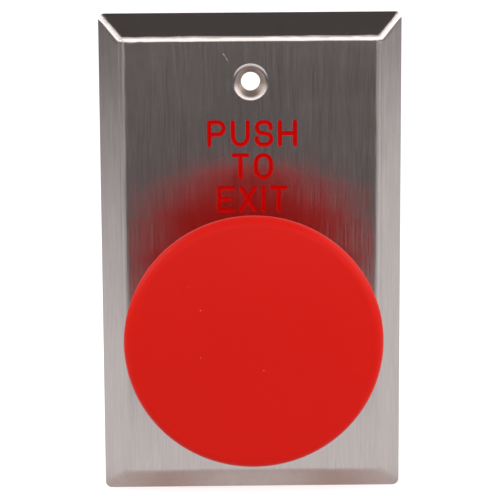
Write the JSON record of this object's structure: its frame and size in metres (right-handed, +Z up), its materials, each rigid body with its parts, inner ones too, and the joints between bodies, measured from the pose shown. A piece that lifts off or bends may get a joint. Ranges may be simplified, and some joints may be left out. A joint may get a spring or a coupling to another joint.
{
  "type": "door exit button",
  "caption": "Door exit button: large red mushroom push button on a bevelled brushed steel wall plate, with closing and opening contact blocks behind it.",
  "frame": {"origin": "centre of the wall plate on the wall's surface", "axes": "+X to the right seen from the room, +Y into the wall, +Z up"},
  "size_m": [0.0698, 0.0808, 0.1142],
  "materials": {
    "plate_steel": "vertical brushed",
    "seal_rubber": "matte",
    "operator_zinc": "satin chrome",
    "spring_steel": "drawn wire",
    "zinc_plated": "zinc plated",
    "nickel_plated": "nickel plated",
    "collar_zinc": "as cast",
    "head_red": "satin moulded",
    "insert_brass": "turned",
    "stem_steel": "turned",
    "clip_steel": "blackened",
    "pusher_black": "moulded",
    "block_grey": "moulded",
    "cover_clear": "clear moulded",
    "plunger_green": "moulded",
    "plunger_red": "moulded",
    "contact_copper": "rolled",
    "terminal_brass": "rolled"
  },
  "bodies": {
    "base": {"face_plate": "plate_steel", "front_gasket": "seal_rubber", "operator_body": "operator_zinc", "wiper_seal": "seal_rubber", "return_spring": "spring_steel", "lock_washer": "zinc_plated", "ring_nut": "nickel_plated", "mounting_collar": "collar_zinc", "set_screws": "zinc_plated", "closing_block_body": "block_grey", "closing_block_cover": "cover_clear", "closing_plunger_spring": "spring_steel", "closing_terminal_upper": "terminal_brass", "closing_terminal_lower": "terminal_brass", "closing_clamp_plates": "zinc_plated", "closing_terminal_screws": "zinc_plated", "opening_block_body": "block_grey", "opening_block_cover": "cover_clear", "opening_plunger_spring": "spring_steel", "opening_terminal_upper": "terminal_brass", "opening_terminal_lower": "terminal_brass", "opening_clamp_plates": "zinc_plated", "opening_terminal_screws": "zinc_plated"},
    "button": {"mushroom_head": "head_red", "head_insert": "insert_brass", "stem": "stem_steel", "retaining_clip": "clip_steel", "pusher_disc": "pusher_black", "pusher_screw": "zinc_plated"},
    "closing_plunger": {"closing_plunger": "plunger_green", "closing_bridge_spring": "spring_steel"},
    "opening_plunger": {"opening_plunger": "plunger_red", "opening_bridge_spring": "spring_steel"},
    "closing_bridge": {"closing_bridge": "contact_copper"},
    "opening_bridge": {"opening_bridge": "contact_copper"}
  },
  "joints": [
    {"name": "button_press", "type": "slide", "parent": "base", "child": "button", "axis": [0, 1, 0], "range_m": [0, 0.0045], "stiffness_N_per_m": 900, "springref_m": -0.008, "deforming": ["return_spring"]},
    {"name": "closing_plunger_press", "type": "slide", "parent": "base", "child": "closing_plunger", "axis": [0, 1, 0], "range_m": [0, 0.0045], "deforming": ["closing_plunger_spring", "closing_bridge_spring"]},
    {"name": "opening_plunger_press", "type": "slide", "parent": "base", "child": "opening_plunger", "axis": [0, 1, 0], "range_m": [0, 0.0045], "deforming": ["opening_plunger_spring", "opening_bridge_spring"]},
    {"name": "closing_bridge_move", "type": "slide", "parent": "base", "child": "closing_bridge", "axis": [0, 1, 0], "range_m": [0, 0.003]},
    {"name": "opening_bridge_move", "type": "slide", "parent": "base", "child": "opening_bridge", "axis": [0, 1, 0], "range_m": [0, 0.003]}
  ],
  "couplings": [
    {"joint": "closing_plunger_press", "follows": "button_press", "ratio": 1},
    {"joint": "opening_plunger_press", "follows": "button_press", "ratio": 1},
    {"joint": "closing_bridge_move", "follows": "button_press", "ratio": 0.6666},
    {"joint": "opening_bridge_move", "follows": "button_press", "ratio": 0.6666}
  ]
}
